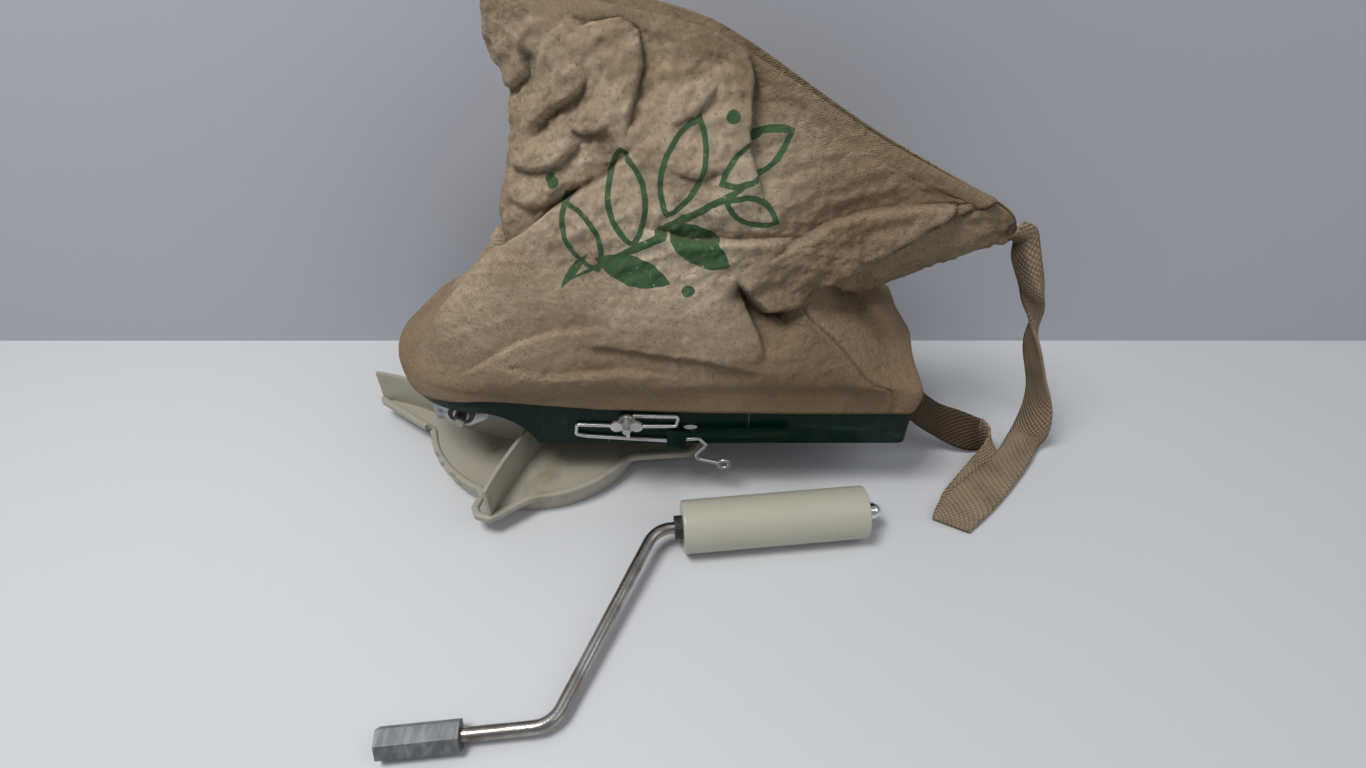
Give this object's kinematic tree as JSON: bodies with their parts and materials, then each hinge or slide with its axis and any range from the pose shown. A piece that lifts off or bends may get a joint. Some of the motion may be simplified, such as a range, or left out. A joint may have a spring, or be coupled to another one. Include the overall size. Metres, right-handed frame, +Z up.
{
  "type": "hand-cranked broadcast seed spreader",
  "caption": "Chest-carried seed spreader: canvas seed bag on a green sheet-metal pan, cream vaned spinner below, wire-stopped feed gate, webbing strap and a loose crank with a turning grip.",
  "frame": {"origin": "on the floor, below the spinner's axis", "axes": "+X along the seed pan away from the spinner's end, -Y out of the crank shaft's side, +Z up"},
  "size_m": [0.5208, 0.3588, 0.3351],
  "materials": {
    "green_paint": "gloss, worn at the edges",
    "zinc_case": "dull cast",
    "zinc_sheet": "galvanised, dirty",
    "zinc_wire": "zinc plated",
    "black_rubber": "matt",
    "canvas": "plain weave, stained",
    "webbing": "coarse woven",
    "cream_plastic": "moulded, aged",
    "ivory_plastic": "translucent-looking, smooth",
    "steel_rod": "bare, tarnished",
    "grey_steel": "dull grey, sawn",
    "chrome": "bright"
  },
  "bodies": {
    "seeder": {"seed_pan": "green_paint", "gear_housing": "zinc_case", "bearing_plate": "zinc_sheet", "shaft_grommet": "black_rubber", "seed_bag": "canvas", "strap_drop": "webbing", "strap_return": "webbing", "stop_wire": "zinc_wire", "wing_bolt": "zinc_wire", "wing_nut": "zinc_wire", "gate_rail_front": "green_paint", "gate_rail_back": "green_paint"},
    "spinner": {"spinner": "cream_plastic", "spindle": "steel_rod", "spindle_nut": "steel_rod"},
    "crank_shaft": {"crank_shaft": "steel_rod"},
    "gate": {"feed_gate": "green_paint"},
    "crank": {"crank_rod": "steel_rod", "crank_coupler": "grey_steel", "crank_collar": "black_rubber", "crank_nut": "chrome"},
    "grip": {"crank_grip": "ivory_plastic"}
  },
  "joints": [
    {"name": "spinner_turn", "type": "hinge", "parent": "seeder", "child": "spinner", "pos_m": [0, 0, 0.05], "axis": [0, 0, 1], "continuous": true},
    {"name": "crank_shaft_turn", "type": "hinge", "parent": "seeder", "child": "crank_shaft", "pos_m": [-0.043, -0.04, 0.066], "axis": [0, -1, 0], "continuous": true},
    {"name": "gate_slide", "type": "slide", "parent": "seeder", "child": "gate", "axis": [1, 0, 0], "range_m": [-0.022, 0.006]},
    {"name": "crank_lift", "type": "slide", "parent": "seeder", "child": "crank", "axis": [0, 0, 1], "range_m": [0, 0.12]},
    {"name": "grip_turn", "type": "hinge", "parent": "crank", "child": "grip", "pos_m": [0.17064, -0.10169, 0.018], "axis": [0.9945, 0.1045, 0], "continuous": true}
  ],
  "couplings": [
    {"joint": "crank_shaft_turn", "follows": "spinner_turn", "ratio": 0.25}
  ]
}
